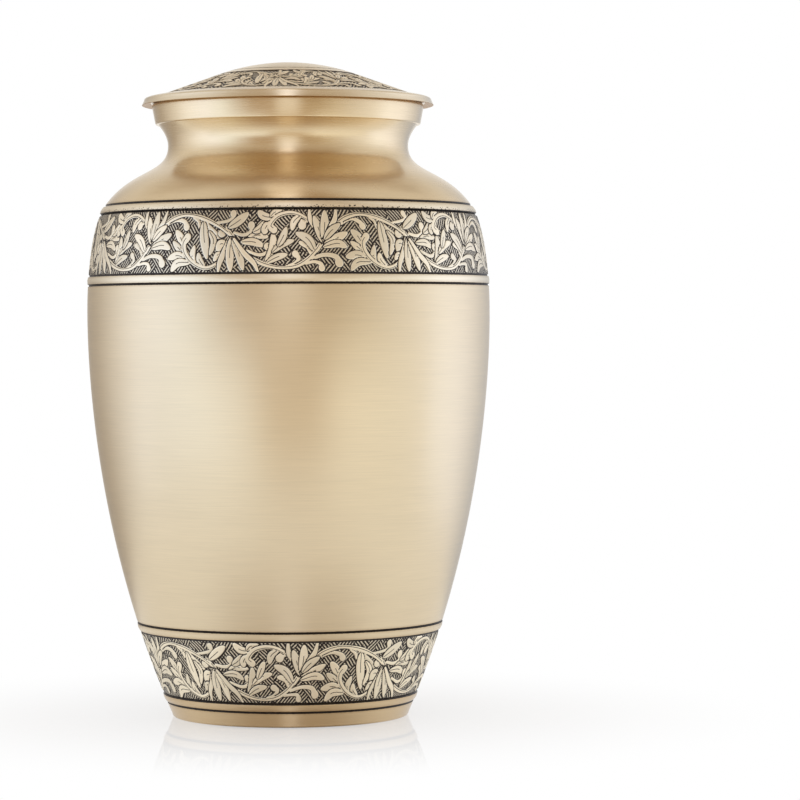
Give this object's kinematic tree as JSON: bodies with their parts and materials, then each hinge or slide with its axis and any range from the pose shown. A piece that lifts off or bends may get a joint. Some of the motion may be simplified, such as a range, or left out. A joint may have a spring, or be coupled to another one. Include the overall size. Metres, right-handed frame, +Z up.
{
  "type": "cremation urn",
  "caption": "Hollow brass cremation urn with a tall tapering body, waisted neck, lift-off domed lid and engraved leaf-scroll bands.",
  "frame": {"origin": "centre of the underside, on the surface that the urn stands on", "axes": "+Z up along the turning axis of the vessel and lid; the outline is the same in every direction about it"},
  "size_m": [0.1574, 0.1574, 0.2555],
  "materials": {
    "vessel_brass": "finely brushed satin brass with blackened engraving",
    "lid_brass": "finely brushed satin brass with blackened engraving"
  },
  "bodies": {
    "root": {"vessel": "vessel_brass", "lid": "lid_brass"}
  },
  "joints": []
}
